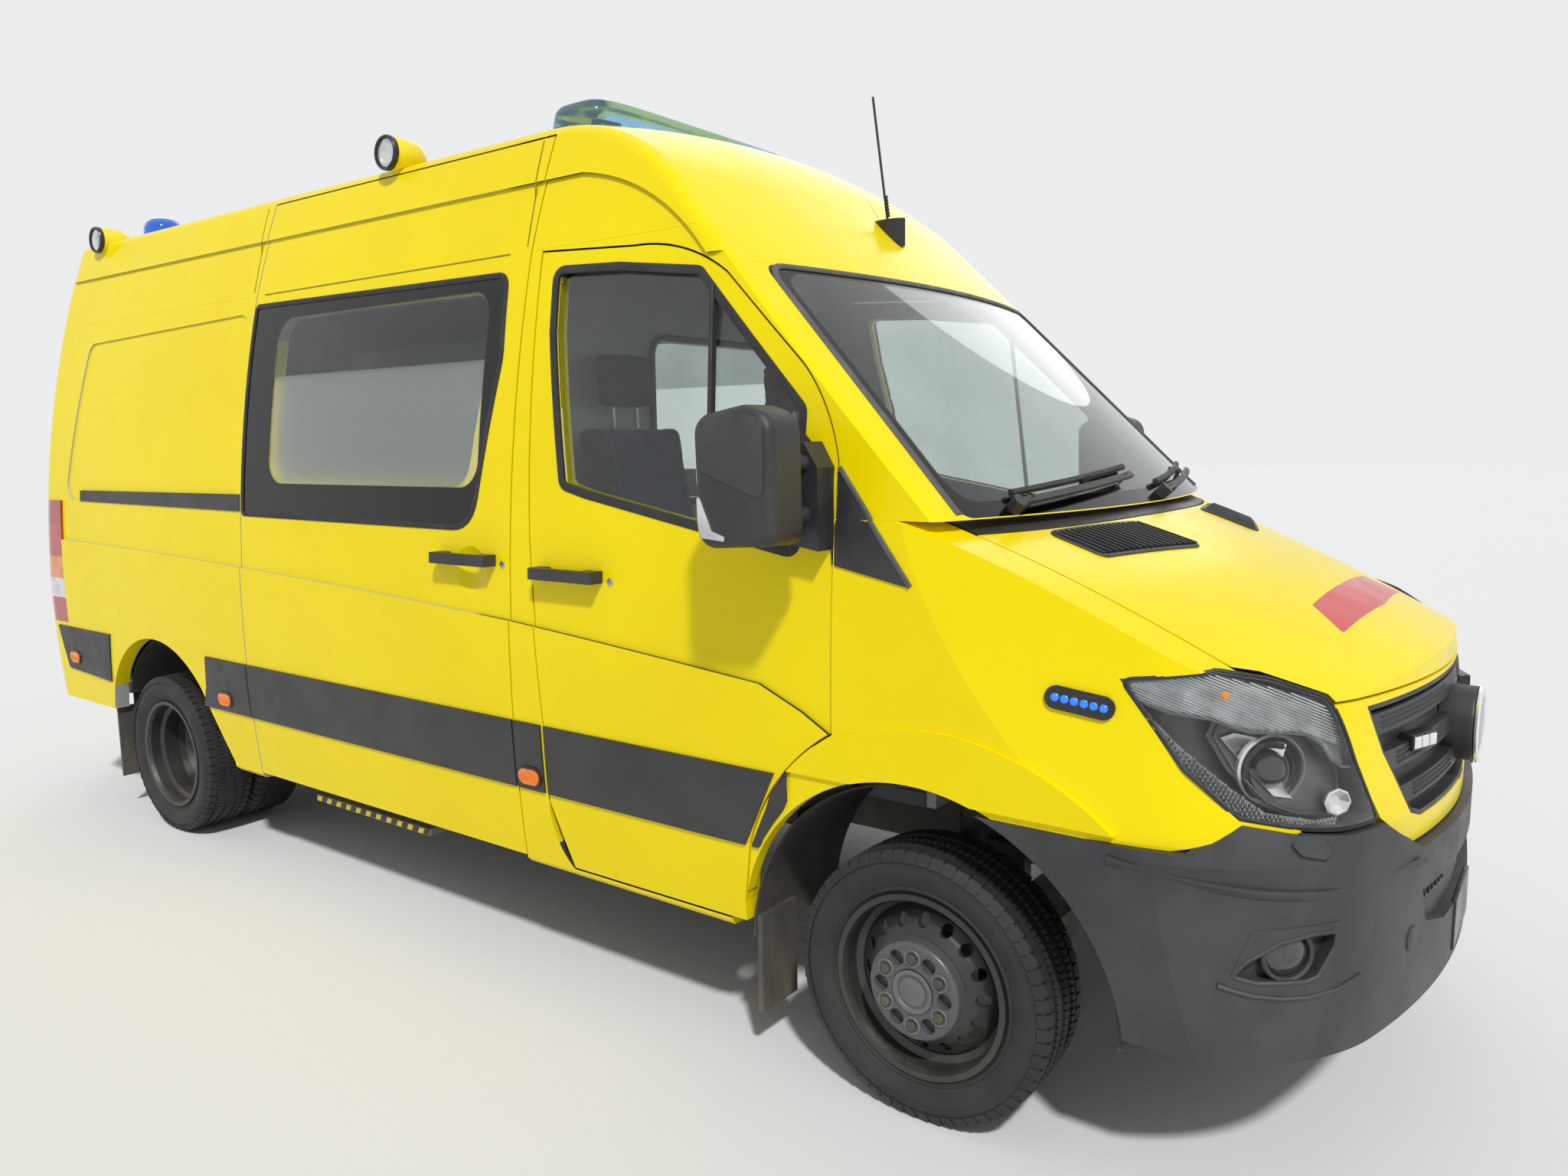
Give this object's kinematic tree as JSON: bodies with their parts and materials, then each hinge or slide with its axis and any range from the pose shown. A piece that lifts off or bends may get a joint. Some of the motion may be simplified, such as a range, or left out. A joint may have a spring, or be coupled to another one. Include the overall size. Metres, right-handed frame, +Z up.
{
  "type": "panel-van ambulance",
  "caption": "High-roof panel-van ambulance with dual rear wheels, sliding side door, rear doors, bonnet, blue light bar and beacons, furnished cab and load space.",
  "frame": {"origin": "middle of the bounding box on the ground", "axes": "+X forward, +Y to the vehicle's left, +Z up"},
  "size_m": [6.054, 2.426, 2.77],
  "materials": {
    "paint": "high-visibility yellow gloss paint",
    "black_plastic": "grained black plastic",
    "grey_plastic": "grained grey plastic",
    "glass": "tinted",
    "lamp_clear": "clear lens",
    "lamp_blue": "blue lens",
    "lamp_red": "red lens",
    "lamp_amber": "amber lens",
    "floor": "safety floor",
    "chassis": "black chassis paint",
    "rubber": "matt",
    "tyre": "matt",
    "wheel_steel": "dark grey paint",
    "grey_steel": "dull",
    "cast_iron": "as cast",
    "liner": "felt-like",
    "lining": "pale wall lining",
    "fabric": "dark woven cloth"
  },
  "bodies": {
    "body": {"floor_pan": "floor", "chassis_rails": "chassis", "cab_frame": "paint", "roof_panel": "paint", "side_panel_left": "paint", "rear_quarter_right": "paint", "sliding_door": "paint", "side_glass": "glass", "front_wings": "paint", "front_bumper": "paint", "grille": "black_plastic", "grille_surround": "paint", "front_lamps": "lamp_clear", "scuttle": "black_plastic", "windscreen": "glass", "side_mouldings": "black_plastic", "slide_rail": "black_plastic", "marker_lamps": "lamp_amber", "mudflaps": "rubber", "blue_lights": "lamp_blue", "scene_lamps": "lamp_clear", "aerial": "black_plastic", "tail_lamps": "lamp_red", "steps": "grey_steel", "engine_block": "cast_iron", "exhaust": "grey_steel", "fuel_tank": "black_plastic", "propshaft": "chassis", "rear_axle": "chassis", "front_subframe": "chassis", "wheel_housings": "liner", "bulkheads": "lining", "dashboard": "grey_plastic", "cab_seats": "fabric", "load_cupboards": "lining", "stretcher_table": "grey_plastic"},
    "door_right": {"door_right": "paint", "door_glass_right": "glass", "door_trim_right": "black_plastic"},
    "door_left": {"door_left": "paint", "door_glass_left": "glass", "door_trim_left": "black_plastic"},
    "rear_door_right": {"rear_door_right": "paint", "rear_glass_right": "glass"},
    "rear_door_left": {"rear_door_left": "paint", "rear_glass_left": "glass"},
    "bonnet": {"bonnet": "paint"},
    "knuckle_right": {"knuckle_right": "cast_iron"},
    "knuckle_left": {"knuckle_left": "cast_iron"},
    "wheel_front_right": {"tyre_front_right": "tyre", "rim_front_right": "wheel_steel"},
    "wheels_rear_right": {"tyres_rear_right": "tyre", "rims_rear_right": "wheel_steel"},
    "wheel_front_left": {"tyre_front_left": "tyre", "rim_front_left": "wheel_steel"},
    "wheels_rear_left": {"tyres_rear_left": "tyre", "rims_rear_left": "wheel_steel"},
    "steering_wheel": {"steering_wheel": "black_plastic"}
  },
  "joints": [
    {"name": "door_right_hinge", "type": "hinge", "parent": "body", "child": "door_right", "pos_m": [1.784, -1.003, 1.1], "axis": [0, 0, 1], "range_deg": [0, 70]},
    {"name": "door_left_hinge", "type": "hinge", "parent": "body", "child": "door_left", "pos_m": [1.784, 1.003, 1.1], "axis": [0, 0, -1], "range_deg": [0, 70]},
    {"name": "rear_door_right_hinge", "type": "hinge", "parent": "body", "child": "rear_door_right", "pos_m": [-2.833, -0.8, 1.4], "axis": [0, 0, 1], "range_deg": [0, 180]},
    {"name": "rear_door_left_hinge", "type": "hinge", "parent": "body", "child": "rear_door_left", "pos_m": [-2.833, 0.8, 1.4], "axis": [0, 0, -1], "range_deg": [0, 180]},
    {"name": "bonnet_hinge", "type": "hinge", "parent": "body", "child": "bonnet", "pos_m": [1.998, 0, 1.452], "axis": [0, -1, 0], "range_deg": [0, 60]},
    {"name": "steer_right", "type": "hinge", "parent": "body", "child": "knuckle_right", "pos_m": [1.993, -0.775, 0.34], "axis": [0, 0, 1], "range_deg": [-35, 35]},
    {"name": "steer_left", "type": "hinge", "parent": "body", "child": "knuckle_left", "pos_m": [1.993, 0.775, 0.34], "axis": [0, 0, 1], "range_deg": [-35, 35]},
    {"name": "wheel_front_right_spin", "type": "hinge", "parent": "knuckle_right", "child": "wheel_front_right", "pos_m": [1.993, -0.857, 0.34], "axis": [0, 1, 0], "continuous": true},
    {"name": "wheels_rear_right_spin", "type": "hinge", "parent": "body", "child": "wheels_rear_right", "pos_m": [-1.672, -0.77, 0.34], "axis": [0, 1, 0], "continuous": true},
    {"name": "wheel_front_left_spin", "type": "hinge", "parent": "knuckle_left", "child": "wheel_front_left", "pos_m": [1.993, 0.857, 0.34], "axis": [0, 1, 0], "continuous": true},
    {"name": "wheels_rear_left_spin", "type": "hinge", "parent": "body", "child": "wheels_rear_left", "pos_m": [-1.672, 0.77, 0.34], "axis": [0, 1, 0], "continuous": true},
    {"name": "steering_wheel_turn", "type": "hinge", "parent": "body", "child": "steering_wheel", "pos_m": [1.513, 0.43, 1.18], "axis": [-0.8829, 0, 0.4695], "range_deg": [-530, 530]}
  ],
  "couplings": [
    {"joint": "steer_left", "follows": "steer_right", "ratio": 1},
    {"joint": "steering_wheel_turn", "follows": "steer_right", "ratio": 15}
  ]
}
